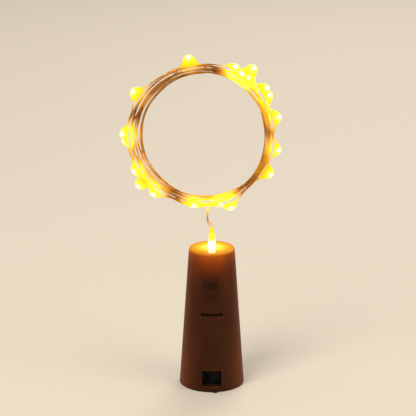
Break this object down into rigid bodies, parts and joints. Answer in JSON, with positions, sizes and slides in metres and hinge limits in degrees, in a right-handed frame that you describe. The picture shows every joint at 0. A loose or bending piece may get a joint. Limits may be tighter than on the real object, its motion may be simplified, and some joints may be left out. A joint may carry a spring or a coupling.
{
  "type": "cork bottle light",
  "caption": "Bottle-cork-shaped battery light: tapered brown shell with a pull-out battery drawer and slide switch, and a copper wire string of lamps wound into a ring above it.",
  "frame": {"origin": "middle of the wide end, on the surface that the cork stands on", "axes": "+Z along the cork's axis, towards the narrow end; -Y towards the switch and the slit"},
  "size_m": [0.0581, 0.0245, 0.1249],
  "materials": {
    "cork_plastic": "satin, translucent",
    "inner_plastic": "matte moulded",
    "contact_metal": "nickel plated",
    "spring_brass": "bright",
    "cell_steel": "bright",
    "cell_seal": "matte",
    "switch_black": "matte moulded",
    "switch_board": "matte laminate",
    "red_insulation": "satin",
    "black_insulation": "satin",
    "hot_glue": "satin",
    "copper_wire": "enamelled, bright",
    "lamp_epoxy": "clear, glossy",
    "lamp_chip": "glossy"
  },
  "bodies": {
    "cork": {"cork_shell": "cork_plastic", "contact_carrier": "inner_plastic", "upper_contact": "contact_metal", "wiper_blade": "contact_metal", "plus_wire": "red_insulation", "minus_wire": "black_insulation", "glue_plug": "hot_glue", "exit_lamp_drop": "lamp_epoxy", "exit_lamp_chip": "lamp_chip", "string_lead": "copper_wire", "string_coil": "copper_wire", "ring_lamp_drops": "lamp_epoxy", "ring_lamp_chips": "lamp_chip"},
    "drawer": {"battery_drawer": "inner_plastic", "lower_contact": "contact_metal", "return_strip": "contact_metal", "switch_frame": "switch_black", "switch_base": "switch_board", "switch_terminals": "contact_metal", "cell_1_can": "cell_steel", "cell_1_lid": "cell_steel", "cell_2_can": "cell_steel", "cell_2_lid": "cell_steel", "cell_3_can": "cell_steel", "cell_3_lid": "cell_steel", "cell_1_seal": "cell_seal", "cell_2_seal": "cell_seal", "cell_3_seal": "cell_seal"},
    "latch": {"latch_tongue": "inner_plastic"},
    "knob": {"switch_knob": "switch_black", "slider_clip": "spring_brass"}
  },
  "joints": [
    {"name": "drawer_slide", "type": "slide", "parent": "cork", "child": "drawer", "axis": [0, 0, -1], "range_m": [0, 0.042]},
    {"name": "latch_press", "type": "hinge", "parent": "drawer", "child": "latch", "pos_m": [0, -0.00838, 0.0236], "axis": [-1, 0, 0], "range_deg": [0, 3.9], "stiffness_Nm_per_rad": 0.02},
    {"name": "switch_slide", "type": "slide", "parent": "drawer", "child": "knob", "axis": [-1, 0, 0], "range_m": [0, 0.0024]}
  ]
}
